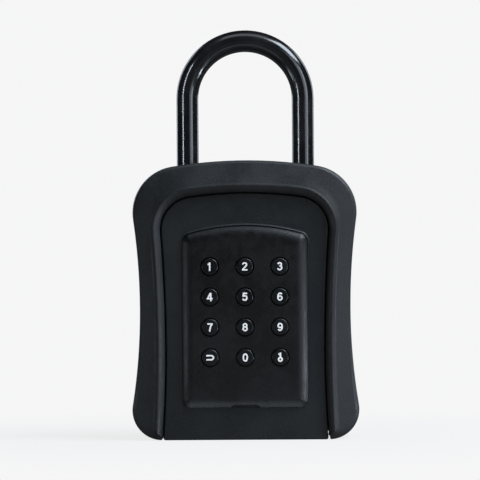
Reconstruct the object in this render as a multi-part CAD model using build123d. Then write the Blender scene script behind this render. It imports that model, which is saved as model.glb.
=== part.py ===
from build123d import *
import math
import os
from typing import NamedTuple

# Electronic key cabinet. Millimetres, +Z up, the front faces -Y, +X is to the right.
# The origin is the centre of the bottom of the whole object.


class Outline(NamedTuple):
    """A waisted, crowned outline seen from the front, the same on both sides."""
    half: float
    waist_z: float
    upper_r: float
    lower_r: float
    crown_z: float
    crown_r: float
    top_corner_r: float
    bottom_z: float
    bottom_corner_r: float


# Depth stations of the body, from the front to the back
ridge_y = -23.0
door_front_y = -20.0
door_skin = 4.5
frame_rear_y = 20.0
flange_thickness = 2.0
pad_thickness = 1.0
back_wall = 2.0

# The opening for the door, as wide as the batteries and the walls beside them need
opening_waist_z = 38.0
opening_upper_r = 660.0
opening_lower_r = 480.0
opening_crown_z = 104.2
opening_crown_r = 165.0
opening_corner_r = 14.3
opening_bottom_z = -5.0

# The ridge round it, where the frame stands proudest
bevel_side = 2.8
bevel_top = 3.1
ridge_waist_z = 40.0
ridge_upper_r = 610.0
ridge_lower_r = 700.0
ridge_crown_r = 190.0
ridge_corner_r = 17.0
ridge_bottom_z = 2.5
ridge_bottom_corner_r = 1.5

# The frame's outside
ring_side = 7.72
ring_top = 10.2
outer_waist_z = 55.2
outer_upper_r = 270.0
outer_lower_r = 254.0
outer_crown_r = 190.0
outer_corner_r = 19.6
outer_bottom_corner_r = 12.6

# The frame's front face: how far behind the ridge, and how far across to the ridge from the side and
# from the crown. Along the sides it ends in a steep flank, which makes the ridge a bead there.
frame_face = [(4.2, 0.0, 0.0), (3.3, 0.035, 0.035), (2.6, 0.11, 0.11), (1.3, 0.80, 0.60),
              (1.05, 0.87, 0.69), (0.35, 0.955, 0.92), (0.0, 1.0, 1.0)]
# The bevel from the ridge down to the door: how far behind the ridge, and how far across
frame_bevel = [(0.0, 0.0), (0.2, 0.16), (0.6, 0.40), (1.25, 0.65), (2.05, 0.86), (3.0, 1.0)]
ridge_land = 0.35
cut_margin = 1.0

# Walls of the frame, the case and the ledge that the door closes on
frame_wall = 2.5
jamb_wall = 2.0
channel_front_y = -17.5
leg_block_height = 12.0
post_radius = 3.4
ledge_front_y = -14.5
ledge_rear_y = -12.2
ledge_width = 3.5
ledge_bottom_z = 8.0
seal_thickness = 0.9
seal_inset = 0.5
case_clearance = 0.2
case_wall = 2.8
case_bottom_z = 3.5
case_bottom_corner_r = 2.0
case_inner_top_corner_r = 9.5
case_inner_bottom_corner_r = 0.8
flange_inset = 0.3
flange_edge_r = 0.9

# Back pad and the holes for wall screws
pad_inset = 10.0
pad_bottom_z = 9.0
pad_corner_r = 5.0
wall_hole_r = 2.5
wall_spacing_x = 40.0
wall_spacing_z = 44.0
wall_centre_z = 38.0

# Case screws, in posts of the frame
case_screw_from_side = 5.2
case_screw_low_z = 26.0
case_screw_high_z = 84.0
case_screw_from_crown = 6.9
case_screw_r = 1.5
case_screw_length = 9.0
case_screw_head_r = 2.7
case_screw_head = 1.6

# Door and its hinge
door_gap = 0.5
door_bottom_z = 0.0
door_bottom_corner_r = 1.0
door_edge_r = 0.6
hinge_y = -17.75
hinge_z = 4.6
leg_flare = 0.35
leg_flare_height = 1.5
hinge_pin_r = 1.0
hinge_fit = 0.03
hinge_pin_in_door = 4.6
hinge_pin_in_leg = 5.9

# Keypad panel, raised over the door's front
panel_from_side = 7.47
panel_bottom_z = 13.7
panel_from_crown = 14.4
panel_crown_r = 86.0
panel_top_corner_r = 3.8
panel_bottom_corner_r = 3.2
panel_least_corner_r = 0.4
panel_rise = 2.2
panel_plate = 2.0
panel_edge_r = 6.5
panel_edge_turn = 45.0
panel_edge_steps = 8
panel_gap = 0.15
panel_top_gap = 0.3
recess_depth = 1.8
panel_cavity_inset = 4.3
notch_bottom_half = 6.4
notch_top_half = 5.1
notch_height = 1.1

# Rain lip on the door, over the top of the panel, fading out down its sides
lip_width = 0.7
lip_crest = 0.15
lip_height = 0.4
lip_end_z = 82.0
lip_fade = 3.0

# Keys
key_window_gap = 2.2
key_pitch_z = 12.73
key_top_row_z = 72.9
key_names = [["1", "2", "3"], ["4", "5", "6"], ["7", "8", "9"], ["back", "0", "unlock"]]
key_r = 3.5
key_gap = 0.55
key_proud = 0.5
key_edge_r = 0.5
key_flange_r = 4.6
key_flange = 0.6
key_flange_gap = 0.1
key_stem_r = 1.5
key_travel = 0.7
switch_gap = 0.05

# Membrane, board and what is on it
membrane_thickness = 0.4
membrane_hole_r = 1.9
membrane_inset = 0.7
window_from_panel = 4.8
window_below_keys = 6.7
window_above_keys = 7.1
window_corner_r = 2.0
board_seat = 1.2
board_margin = 1.3
board_thickness = 1.0
board_gap = 0.3
switch_size = 3.6
switch_height = 0.8
board_screw_inset_x = 0.3
board_screw_inset_z = 1.3
board_screw_r = 0.7
board_screw_length = 3.4
board_screw_head_r = 1.3
board_screw_head = 0.45
chip_places = [(-9.0, 73.0, 7.0, 5.0), (4.0, 73.5, 4.0, 4.0), (13.0, 73.0, 6.0, 3.0)]
chip_height = 0.9

# Liner that closes the door's back
liner_clearance = 2.17
liner_wall = 1.5
liner_rear_y = -3.4
liner_bottom_z = 8.0
liner_bottom_corner_r = 4.0
liner_post_low_inset = 4.5
liner_post_high_inset = 4.2
liner_post_above_bottom = 4.6
liner_post_below_crown = 10.2
liner_post_r = 2.6
liner_screw_r = 1.0
liner_screw_head_r = 1.9
liner_screw_head = 1.2
liner_screw_bite = 2.2

# Battery bay
cell_r = 5.15
cell_length = 43.3
cell_nub_r = 1.8
cell_nub = 1.2
cell_pitch = 11.0
cell_count = 4
first_cell_z = 25.0
bay_window_inset = 3.0
bay_floor = 0.7
bay_floor_gap = 0.15
bay_wall = 1.2
bay_play = 0.3
cell_clearance = 0.1
contact_thickness = 0.5
contact_half = 4.0
spring_r = 3.2
spring_tip_r = 1.9
spring_length = 4.35
cell_edge_r = 0.65

# Battery cover and its rails
cover_thickness = 1.2
cover_edge = 0.6
cover_gap = 0.1
cover_side_overlap = 2.8
cover_lip = 1.3
cover_overlap = 2.0
cover_travel = 14.0
cover_grip_r = 5.5
cover_grip = 0.5
cover_grip_below_top = 8.8
rail_wall = 1.2
rail_lip = 1.1

# Latch: bolt with a rack, pinion, gear motor and housing
module_mm = 0.5
pinion_teeth = 12
pressure_angle = 20.0
pinion_addendum = 0.4
rack_addendum = 0.32
tooth_bottom_clearance = 0.15
backlash = 0.12
bolt_left_x = 0.5
bolt_right_x = 6.5
bolt_front_y = -8.4
bolt_rear_y = -5.4
bolt_length = 20.4
bolt_rest_gap = 2.1
bolt_travel = 5.0
bolt_tip_r = 0.6
rack_above_bolt_end = 0.9
rack_tooth_count = 8
pinion_above_bolt_end = 6.5
pinion_left_x = 1.2
pinion_right_x = 5.8
pinion_mesh_gap = 0.05
pinion_bore_r = 0.8
slide_fit = 0.12
motor_r = 3.75
motor_left_x = -19.5
motor_right_x = -8.0
gearbox_right_x = -1.6
gearbox_rim = 0.4
motor_cap_r = 1.6
motor_cap = 0.8
shaft_r = 0.78
housing_left_x = -3.2
housing_right_x = 9.4
housing_below_pinion = 5.8
housing_above_pinion = 12.0
housing_rear_gap = 0.3
housing_screws_from_pinion = [(8.0, -0.5), (8.0, 10.0), (-1.7, 10.0)]
housing_screw_r = 0.7
housing_screw_head_r = 1.2
housing_screw_head = 0.8
housing_screw_bite = 1.6

# Strike in the case's top wall
strike_left_x = -4.5
strike_right_x = 11.5
strike_front_y = -11.4
strike_rear_y = -2.4
strike_below_crown = 0.6
strike_thickness = 1.0
strike_play = 0.35
strike_screw_places = [(-2.6, -6.9), (9.6, -6.9)]
strike_screw_r = 0.7
strike_screw_length = 1.9
strike_screw_head_r = 1.2
strike_screw_head = 0.5

# Buzzer
buzzer_x = 14.6
buzzer_z = 87.0
buzzer_r = 4.5
buzzer_height = 3.0
buzzer_hole_r = 0.8

# Shackle
leg_from_side = 9.12
leg_y = 8.0
sleeve_r = 4.65
core_r = 3.5
arch_above_frame = 26.8
sleeve_in_frame = 9.5
sleeve_fit = 0.25
core_fit = 0.08
toe_in_frame = 24.0
heel_below_toe = 23.4
shackle_lift = 23.5
tip_chamfer = 0.8
notch_above_tip = 2.2
notch_tall = 2.4
notch_deep = 2.3
clip_above_tip = 1.2
clip_thickness = 1.0
clip_r = 4.9
clip_groove_r = 2.7
clip_mouth_half = 2.16
clip_play = 0.05

# Guide block of the shackle, its cover, its latch and the release knob
guide_front_y = 1.0
guide_below_heel = 0.6
guide_clearance = 0.2
clip_bore_r = 5.3
guide_cover = 1.0
latch_left_x = 1.0
latch_tip_gap = 0.35
latch_travel = 2.0
latch_half_depth = 2.6
latch_thickness = 2.0
latch_play = 0.2
knob_x = 6.0
knob_r = 2.6
knob_stem_r = 1.4
knob_proud = 1.3
knob_chamfer = 0.3
knob_gap = 0.1
guide_screws_above_guide = [(-12.0, 6.5), (12.0, 6.5), (0.0, 23.5)]
guide_screw_r = 1.25
guide_screw_length = 9.0
guide_screw_head_r = 2.3
guide_screw_head = 1.5

# Key hook on the case's back wall
hook_half = 18.0
hook_below_guide = 9.5
hook_height = 7.0
hook_corner_r = 2.3
hook_plate = 1.2
hook_peg_r = 1.1
hook_peg = 9.0
hook_peg_up = 3.0
hook_pitch = 12.0

# Cross recess of every screw, in parts of its head
cross_long = 1.2
cross_wide = 0.3
cross_deep = 0.6

# Values worked out from the ones above
bay_half = cell_length / 2 + cell_clearance + spring_length + contact_thickness
liner_half = bay_half + liner_wall
opening_half = liner_half + liner_clearance + ledge_width
opening = Outline(opening_half, opening_waist_z, opening_upper_r, opening_lower_r, opening_crown_z,
                  opening_crown_r, opening_corner_r, opening_bottom_z, 0.0)
ridge = Outline(opening_half + bevel_side, ridge_waist_z, ridge_upper_r, ridge_lower_r,
                opening_crown_z + bevel_top, ridge_crown_r, ridge_corner_r, ridge_bottom_z,
                ridge_bottom_corner_r)
outer = Outline(ridge.half + ring_side, outer_waist_z, outer_upper_r, outer_lower_r,
                ridge.crown_z + ring_top, outer_crown_r, outer_corner_r, 0.0, outer_bottom_corner_r)
case_screw_places = [(side * (outer.half - case_screw_from_side), z) for side in (-1, 1)
                     for z in (case_screw_low_z, case_screw_high_z)]
case_screw_places.append((0.0, outer.crown_z - case_screw_from_crown))
hinge_pin_inner_x = opening_half - hinge_pin_in_door
hinge_pin_outer_x = opening_half + hinge_pin_in_leg
frame_front_y = ridge_y + frame_face[0][0]
door_rear_y = door_front_y + door_skin
case_back_y = frame_rear_y + flange_thickness
compartment_back_y = frame_rear_y - back_wall
recess_y = door_front_y + recess_depth
panel_front_y = door_front_y - panel_rise
membrane_front_y = recess_y - membrane_thickness
panel_half = opening_half - panel_from_side
panel_crown_z = opening_crown_z - panel_from_crown
panel_edge_width = panel_edge_r * math.sin(math.radians(panel_edge_turn))
window_half = panel_half - window_from_panel
board_screw_x = window_half - board_screw_inset_x
key_pitch_x = window_half - key_window_gap - key_flange_r
key_rows_z = [key_top_row_z - row * key_pitch_z for row in range(len(key_names))]
window_bottom_z = key_rows_z[-1] - window_below_keys
window_top_z = key_rows_z[0] + window_above_keys
board_screw_places = [(side * board_screw_x, z) for side in (-1, 1)
                      for z in (window_bottom_z + board_screw_inset_z, window_top_z - board_screw_inset_z)]
board_front_y = recess_y + board_seat
board_rear_y = board_front_y + board_thickness
switch_front_y = board_front_y - switch_height
flange_front_y = panel_front_y + panel_plate + key_flange_gap
key_front_y = panel_front_y - key_proud
key_stem_rear_y = switch_front_y - switch_gap - key_travel
pitch_r = module_mm * pinion_teeth / 2
pinion_y = bolt_front_y - pitch_r - pinion_mesh_gap
strike_z = opening.crown_z - case_clearance - case_wall - strike_below_crown
bolt_top_z = strike_z - bolt_rest_gap
bolt_bottom_z = bolt_top_z - bolt_length
rack_bottom_z = bolt_bottom_z + rack_above_bolt_end
pinion_z = bolt_bottom_z + pinion_above_bolt_end
housing_bottom_z = pinion_z - housing_below_pinion
housing_top_z = pinion_z + housing_above_pinion
housing_screw_places = [(x, pinion_z + up) for x, up in housing_screws_from_pinion]
liner_crown_z = opening_crown_z - ledge_width - liner_clearance
liner_posts = [(side * (liner_half - inward), z) for side in (-1, 1)
               for inward, z in ((liner_post_low_inset, liner_bottom_z + liner_post_above_bottom),
                                 (liner_post_high_inset, liner_crown_z - liner_post_below_crown))]
bay_floor_front_y = door_rear_y + bay_floor_gap
bay_floor_rear_y = bay_floor_front_y + bay_floor
cell_y = bay_floor_rear_y + cell_clearance + cell_r
bay_window_half = bay_half - bay_window_inset
cover_half = bay_window_half + cover_side_overlap
bay_bottom_z = first_cell_z - cell_r - bay_play
bay_top_z = first_cell_z + cell_pitch * (cell_count - 1) + cell_r + bay_play
cover_front_y = liner_rear_y + cover_gap
rail_rear_y = cover_front_y + cover_thickness
strike_top_z = strike_z + strike_thickness
leg_x = opening_half - leg_from_side
arch_z = outer.crown_z + arch_above_frame
sleeve_bottom_z = outer.crown_z - sleeve_in_frame
toe_bottom_z = outer.crown_z - toe_in_frame
heel_bottom_z = toe_bottom_z - heel_below_toe
clip_z = heel_bottom_z + clip_above_tip
guide_bottom_z = heel_bottom_z - guide_below_heel
guide_screw_places = [(x, guide_bottom_z + up) for x, up in guide_screws_above_guide]
hook_bottom_z = guide_bottom_z - hook_below_guide
notch_floor_z = toe_bottom_z + notch_above_tip
latch_bottom_z = notch_floor_z + latch_play
latch_tip_x = leg_x - core_r - latch_tip_gap


def inset(outline, distance):
    """The same outline, moved in by a distance all round."""
    return Outline(outline.half - distance, outline.waist_z, outline.upper_r + distance,
                   outline.lower_r + distance, outline.crown_z - distance,
                   outline.crown_r - distance, outline.top_corner_r - distance,
                   outline.bottom_z + distance, outline.bottom_corner_r - distance)


def between(first, second, share, crown_share=None):
    """An outline part of the way from one to another. Its crown can have a share of its own."""
    part_way = Outline(*[a + (b - a) * share for a, b in zip(first, second)])
    if crown_share is None:
        return part_way
    crown = between(first, second, crown_share)
    return part_way._replace(crown_z=crown.crown_z, crown_r=crown.crown_r,
                             top_corner_r=(part_way.top_corner_r + crown.top_corner_r) / 2)


def side_x(outline, z):
    """Half width of an outline at a height."""
    radius = outline.upper_r if z > outline.waist_z else outline.lower_r
    return outline.half + radius - math.sqrt(radius ** 2 - (z - outline.waist_z) ** 2)


def crown_height(outline, x):
    """Height of an outline's crown at a distance from the middle."""
    return outline.crown_z - outline.crown_r + math.sqrt(outline.crown_r ** 2 - x ** 2)


def face(outline):
    """The outline as a flat face, with arcs for its sides and crown and rounded corners."""
    corner_x = outline.half
    for _ in range(20):
        corner_z = crown_height(outline, corner_x)
        corner_x = side_x(outline, corner_z)
    low_mid = (outline.bottom_z + outline.waist_z) / 2
    high_mid = (corner_z + outline.waist_z) / 2
    bottom_x = side_x(outline, outline.bottom_z)
    edges = [Line((-bottom_x, outline.bottom_z), (bottom_x, outline.bottom_z)),
             ThreePointArc((corner_x, corner_z), (0, outline.crown_z), (-corner_x, corner_z))]
    for side in (-1, 1):
        waist = (side * outline.half, outline.waist_z)
        edges.append(ThreePointArc((side * bottom_x, outline.bottom_z),
                                   (side * side_x(outline, low_mid), low_mid), waist))
        edges.append(ThreePointArc(waist, (side * side_x(outline, high_mid), high_mid),
                                   (side * corner_x, corner_z)))
    shape = make_face(edges)
    shape = fillet(shape.vertices().sort_by(Axis.Y)[-2:], outline.top_corner_r)
    if outline.bottom_corner_r > 0:
        shape = fillet(shape.vertices().sort_by(Axis.Y)[:2], outline.bottom_corner_r)
    return shape


def front(y):
    """A plane at depth y, seen from the front: its x is X and its y is Z."""
    return Plane(origin=(0, y, 0), x_dir=(1, 0, 0), z_dir=(0, -1, 0))


def slab(sketch, y_front, y_back):
    """A front-view sketch as a solid between two depths."""
    return extrude(front(y_back) * sketch, amount=y_back - y_front)


def stack(sections):
    """A solid through outlines at given depths, joined by straight lines."""
    return loft([front(y) * face(outline) for y, outline in sections], ruled=True)


def block(x0, x1, y0, y1, z0, z1):
    """A box between two corners."""
    middle = Pos((x0 + x1) / 2, (y0 + y1) / 2, (z0 + z1) / 2)
    return middle * Box(abs(x1 - x0), abs(y1 - y0), abs(z1 - z0))


def rod_x(y, z, radius, x0, x1):
    return Pos((x0 + x1) / 2, y, z) * Rot(0, 90, 0) * Cylinder(radius, x1 - x0)


def rod_y(x, z, radius, y0, y1):
    return slab(Pos(x, z) * Circle(radius), y0, y1)


def rod_z(x, y, radius, z0, z1):
    return Pos(x, y, (z0 + z1) / 2) * Cylinder(radius, z1 - z0)


def rounded(x0, x1, z0, z1, radius):
    """A rectangle with round corners, seen from the front."""
    return Pos((x0 + x1) / 2, (z0 + z1) / 2) * RectangleRounded(x1 - x0, z1 - z0, radius)


def screw_from_back(x, z, head_y, shank_r, length, head_r, head):
    """A screw whose head shows from behind and whose shank points forward."""
    long, wide = head_r * cross_long, head_r * cross_wide
    cross = Rectangle(long, wide) + Rectangle(wide, long)
    body = rod_y(x, z, head_r, head_y - head, head_y)
    body += rod_y(x, z, shank_r, head_y - head - length, head_y - head)
    return body - slab(Pos(x, z) * cross, head_y - head * cross_deep, head_y + cut_margin)


def joined(solids):
    """Several separate solids as one group."""
    group = Part()
    for solid in solids:
        group += solid
    return group


# The fixed case

def opening_cut(y_front, y_back, narrower=0.0):
    return slab(face(inset(opening, narrower)), y_front, y_back)


def shackle_holes(radius, z0, z1, sides=(-1, 1)):
    return joined([rod_z(side * leg_x, leg_y, radius, z0, z1) for side in sides])


def leg_channel():
    """The hollow inside the frame's arch, open at the back."""
    channel_rear = frame_rear_y + cut_margin
    channel = slab(face(inset(outer, frame_wall)), channel_front_y, channel_rear)
    channel -= opening_cut(channel_front_y - cut_margin, channel_rear + cut_margin, -jamb_wall)
    channel -= block(-outer.half - outer.bottom_corner_r, outer.half + outer.bottom_corner_r,
                     channel_front_y - cut_margin, channel_rear + cut_margin, 0, leg_block_height)
    for x, z in case_screw_places:
        channel -= rod_y(x, z, post_radius, channel_front_y - cut_margin, channel_rear + cut_margin)
    return channel


def leg_flares():
    """What is cut off the inner bottom edges of the frame's legs."""
    low_x = side_x(opening, 0)
    high_x = side_x(opening, leg_flare_height)
    down = cut_margin / leg_flare_height
    outline = [(high_x - cut_margin, leg_flare_height), (high_x, leg_flare_height),
               (low_x + leg_flare * (1 + down), -cut_margin), (low_x - cut_margin, -cut_margin)]
    cuts = [make_face(Polyline(*[(side * x, z) for x, z in outline], close=True)) for side in (-1, 1)]
    return joined([slab(cut, ridge_y - cut_margin, frame_rear_y + cut_margin) for cut in cuts])


def front_frame():
    sections = [(ridge_y + behind, between(outer, ridge, side, crown)) for behind, side, crown in frame_face]
    body = slab(face(outer), frame_front_y, frame_rear_y) + stack(sections)
    cut_ridge = inset(ridge, ridge_land)._replace(bottom_z=opening.bottom_z, bottom_corner_r=0.0)
    bevel = [(ridge_y - cut_margin, cut_ridge)]
    bevel += [(ridge_y + behind, between(cut_ridge, opening, share)) for behind, share in frame_bevel]
    body -= stack(bevel)
    body -= opening_cut(door_front_y - cut_margin, ledge_front_y)
    body -= opening_cut(ledge_front_y - cut_margin, ledge_rear_y + cut_margin, ledge_width)
    body -= opening_cut(ledge_rear_y, frame_rear_y + cut_margin)
    body -= leg_channel()
    below_ledge = side_x(opening, ledge_bottom_z)
    body -= block(-below_ledge, below_ledge, ledge_front_y - cut_margin, ledge_rear_y + cut_margin,
                  -cut_margin, ledge_bottom_z)
    body -= leg_flares()
    body -= shackle_holes(sleeve_r + sleeve_fit, sleeve_bottom_z - cut_margin,
                          outer.crown_z + cut_margin)
    body -= shackle_holes(core_r + core_fit, toe_bottom_z, outer.crown_z - frame_wall)
    for x, z in case_screw_places:
        body -= rod_y(x, z, case_screw_r, frame_rear_y - case_screw_length, frame_rear_y + cut_margin)
    return body - hinge_bores(hinge_pin_r)


def hinge_bores(radius):
    return joined([rod_x(hinge_y, hinge_z, radius, *sorted((side * hinge_pin_inner_x,
                                                          side * hinge_pin_outer_x)))
                   for side in (-1, 1)])


def hinge_pins():
    return hinge_bores(hinge_pin_r)


def case_outline():
    return inset(opening, case_clearance)._replace(bottom_z=case_bottom_z,
                                                   bottom_corner_r=case_bottom_corner_r)


def case_inner():
    return inset(case_outline(), case_wall)._replace(top_corner_r=case_inner_top_corner_r,
                                                     bottom_corner_r=case_inner_bottom_corner_r)


def wall_holes(radius, y_front, y_back):
    places = [(side * wall_spacing_x / 2, wall_centre_z + rise * wall_spacing_z / 2)
              for side in (-1, 1) for rise in (-1, 1)]
    return joined([rod_y(x, z, radius, y_front, y_back) for x, z in places])


def rear_case():
    flange = slab(face(inset(outer, flange_inset)), frame_rear_y, case_back_y)
    flange = fillet(flange.faces().sort_by(Axis.Y)[-1].edges(), flange_edge_r)
    gap_half = side_x(opening, 0) + leg_flare
    flange -= block(-gap_half, gap_half, frame_rear_y - cut_margin, case_back_y + cut_margin,
                    -cut_margin, case_bottom_z)
    body = slab(face(case_outline()), ledge_rear_y, frame_rear_y) + flange
    body -= slab(face(case_inner()), ledge_rear_y - cut_margin, compartment_back_y)
    body -= shackle_holes(core_r + core_fit, toe_bottom_z, opening.crown_z + cut_margin)
    body -= block(strike_left_x, strike_right_x, strike_front_y, strike_rear_y,
                  strike_z - cut_margin, strike_top_z)
    body -= strike_slot(opening.crown_z)
    for x, y in strike_screw_places:
        body -= rod_z(x, y, strike_screw_r, strike_z, strike_z + strike_screw_length)
    body -= wall_holes(wall_hole_r, compartment_back_y - cut_margin, case_back_y + cut_margin)
    for x, z in case_screw_places:
        body -= rod_y(x, z, case_screw_r, frame_rear_y - cut_margin, case_back_y + cut_margin)
        body -= rod_y(x, z, case_screw_head_r, case_back_y - case_screw_head, case_back_y + cut_margin)
    for x, z in guide_screw_places:
        body -= rod_y(x, z, guide_screw_r, compartment_back_y - cut_margin, case_back_y + cut_margin)
        body -= rod_y(x, z, guide_screw_head_r, case_back_y - guide_screw_head,
                      case_back_y + cut_margin)
    return body


def case_screws():
    return joined([screw_from_back(x, z, case_back_y, case_screw_r,
                                   case_screw_length - flange_thickness, case_screw_head_r,
                                   case_screw_head)
                   for x, z in case_screw_places])


def back_pad():
    outline = inset(outer, pad_inset)._replace(bottom_z=pad_bottom_z, bottom_corner_r=pad_corner_r)
    pad = slab(face(outline), case_back_y, case_back_y + pad_thickness)
    return pad - wall_holes(wall_hole_r, case_back_y - cut_margin,
                            case_back_y + pad_thickness + cut_margin)


def door_seal():
    outside = slab(face(inset(opening, seal_inset)), ledge_front_y - seal_thickness, ledge_front_y)
    inside = opening_cut(ledge_front_y - seal_thickness - cut_margin, ledge_front_y + cut_margin,
                         ledge_width)
    below = block(-opening.half * 2, opening.half * 2, ledge_front_y - seal_thickness - cut_margin,
                  ledge_front_y + cut_margin, opening.bottom_z - cut_margin, ledge_bottom_z)
    return outside - inside - below


def strike_slot(z_top):
    return block(bolt_left_x - strike_play, bolt_right_x + strike_play, bolt_front_y - strike_play,
                 bolt_rear_y + strike_play, strike_z - cut_margin, z_top)


def strike_plate():
    plate = block(strike_left_x, strike_right_x, strike_front_y, strike_rear_y, strike_z,
                  strike_top_z)
    plate -= strike_slot(strike_top_z + cut_margin)
    for x, y in strike_screw_places:
        plate -= rod_z(x, y, strike_screw_r, strike_z - cut_margin, strike_top_z + cut_margin)
        plate -= rod_z(x, y, strike_screw_head_r, strike_z - cut_margin, strike_z + strike_screw_head)
    return plate


def strike_screws():
    screws = []
    for x, y in strike_screw_places:
        head = rod_z(x, y, strike_screw_head_r, strike_z, strike_z + strike_screw_head)
        screws.append(head + rod_z(x, y, strike_screw_r, strike_z, strike_z + strike_screw_length))
    return joined(screws)


def shackle_block():
    body = slab(face(inset(case_inner(), guide_clearance)), guide_front_y, compartment_back_y)
    body -= block(-opening.half, opening.half, guide_front_y - cut_margin,
                  compartment_back_y + cut_margin, opening.bottom_z, guide_bottom_z)
    top_z = case_inner().crown_z
    body -= shackle_holes(core_r + core_fit, toe_bottom_z - cut_margin, top_z + cut_margin)
    stop_z = clip_z + clip_thickness + shackle_lift + clip_play
    body -= shackle_holes(clip_bore_r, guide_bottom_z - cut_margin, stop_z, sides=(-1,))
    body -= block(latch_left_x - latch_play, leg_x, leg_y - latch_half_depth - latch_play,
                  leg_y + latch_half_depth + latch_play, notch_floor_z,
                  latch_bottom_z + latch_thickness + latch_play)
    knob_way = knob_stem_r + latch_play
    body -= block(knob_x - knob_way, knob_x + latch_travel + knob_way, guide_front_y - cut_margin,
                  leg_y, latch_mid_z() - knob_way, latch_mid_z() + knob_way)
    for x, z in guide_screw_places:
        body -= rod_y(x, z, guide_screw_r, compartment_back_y - guide_screw_length,
                      compartment_back_y + cut_margin)
    return body


def latch_mid_z():
    return latch_bottom_z + latch_thickness / 2


def block_cover():
    outline = inset(case_inner(), guide_clearance)
    body = slab(face(outline), guide_front_y - guide_cover, guide_front_y)
    body -= block(-opening.half, opening.half, guide_front_y - guide_cover - cut_margin,
                  guide_front_y + cut_margin, opening.bottom_z, guide_bottom_z)
    knob_way = knob_stem_r + latch_play
    slot = Pos(knob_x + latch_travel / 2, latch_mid_z()) * SlotCenterToCenter(latch_travel, knob_way * 2)
    return body - slab(slot, guide_front_y - guide_cover - cut_margin, guide_front_y + cut_margin)


def block_screws():
    return joined([screw_from_back(x, z, case_back_y, guide_screw_r,
                                   guide_screw_length, guide_screw_head_r, guide_screw_head)
                   for x, z in guide_screw_places])


def key_hook():
    plate = slab(rounded(-hook_half, hook_half, hook_bottom_z, hook_bottom_z + hook_height,
                         hook_corner_r), compartment_back_y - hook_plate, compartment_back_y)
    peg_z = hook_bottom_z + hook_height / 2 - hook_peg_up / 2
    tip_y = compartment_back_y - hook_plate - hook_peg
    for step in (-1, 0, 1):
        x = step * hook_pitch
        plate += rod_y(x, peg_z, hook_peg_r, tip_y, compartment_back_y - hook_plate)
        plate += Pos(x, tip_y, peg_z) * Sphere(hook_peg_r)
        plate += rod_z(x, tip_y, hook_peg_r, peg_z, peg_z + hook_peg_up)
    return plate


# The shackle and its latch

def shackle_path(left_bottom_z, right_bottom_z):
    left = Line((-leg_x, leg_y, left_bottom_z), (-leg_x, leg_y, arch_z))
    arch = ThreePointArc((-leg_x, leg_y, arch_z), (0, leg_y, arch_z + leg_x), (leg_x, leg_y, arch_z))
    right = Line((leg_x, leg_y, arch_z), (leg_x, leg_y, right_bottom_z))
    return left + arch + right


def bent_rod(radius, left_bottom_z, right_bottom_z):
    start = Plane(origin=(-leg_x, leg_y, left_bottom_z), z_dir=(0, 0, 1))
    return sweep(start * Circle(radius), path=shackle_path(left_bottom_z, right_bottom_z))


def shackle_core():
    core = bent_rod(core_r, heel_bottom_z, toe_bottom_z)
    tips = [edge for edge in core.edges().filter_by(GeomType.CIRCLE)
            if edge.center().Z < toe_bottom_z + tip_chamfer / 2 and edge.radius < core_r + tip_chamfer]
    core = chamfer(tips, tip_chamfer)
    core -= block(leg_x - core_r - cut_margin, leg_x - core_r + notch_deep, leg_y - core_r - cut_margin,
                  leg_y + core_r + cut_margin, notch_floor_z, notch_floor_z + notch_tall)
    ring = rod_z(-leg_x, leg_y, core_r + cut_margin, clip_z - clip_play,
                 clip_z + clip_thickness + clip_play)
    ring -= rod_z(-leg_x, leg_y, clip_groove_r, clip_z - cut_margin, clip_z + clip_thickness + cut_margin)
    return core - ring


def shackle_sleeve():
    return bent_rod(sleeve_r, sleeve_bottom_z, sleeve_bottom_z) - bent_rod(
        core_r, sleeve_bottom_z - cut_margin, sleeve_bottom_z - cut_margin)


def heel_clip():
    clip = rod_z(-leg_x, leg_y, clip_r, clip_z, clip_z + clip_thickness)
    clip -= rod_z(-leg_x, leg_y, clip_groove_r, clip_z - cut_margin, clip_z + clip_thickness + cut_margin)
    return clip - block(-leg_x - clip_mouth_half, -leg_x + clip_mouth_half, leg_y,
                        leg_y + clip_r + cut_margin, clip_z - cut_margin,
                        clip_z + clip_thickness + cut_margin)


def shackle_latch():
    bar = block(latch_left_x, latch_tip_x, leg_y - latch_half_depth, leg_y + latch_half_depth,
                latch_bottom_z, latch_bottom_z + latch_thickness)
    return chamfer(bar.faces().sort_by(Axis.X)[-1].edges().filter_by(Axis.Z), tip_chamfer)


def release_knob():
    cover_front = guide_front_y - guide_cover
    stem = rod_y(knob_x, latch_mid_z(), knob_stem_r, cover_front - knob_gap,
                 leg_y - latch_half_depth)
    cap = rod_y(knob_x, latch_mid_z(), knob_r, cover_front - knob_proud, cover_front - knob_gap)
    cap = chamfer(cap.edges().filter_by(GeomType.CIRCLE).sort_by(Axis.Y)[0], knob_chamfer)
    return stem + cap


# The door and what it carries

def door_outline():
    return inset(opening, door_gap)._replace(bottom_z=door_bottom_z,
                                             bottom_corner_r=door_bottom_corner_r)


def panel_sketch(grow=0.0, top_gap=0.0):
    """The keypad panel's outline: straight sides and bottom, a crowned top."""
    half = panel_half + grow
    crown_r = panel_crown_r + grow
    crown_z = panel_crown_z + grow + top_gap
    bottom_z = panel_bottom_z - grow
    corner_z = crown_z - crown_r + math.sqrt(crown_r ** 2 - half ** 2)
    shape = make_face([Line((-half, corner_z), (-half, bottom_z)),
                       Line((-half, bottom_z), (half, bottom_z)),
                       Line((half, bottom_z), (half, corner_z)),
                       ThreePointArc((half, corner_z), (0, crown_z), (-half, corner_z))])
    top_r = max(panel_top_corner_r + grow, panel_least_corner_r)
    bottom_r = max(panel_bottom_corner_r + grow, panel_least_corner_r)
    shape = fillet(shape.vertices().sort_by(Axis.Y)[-2:], top_r)
    return fillet(shape.vertices().sort_by(Axis.Y)[:2], bottom_r)


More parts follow.
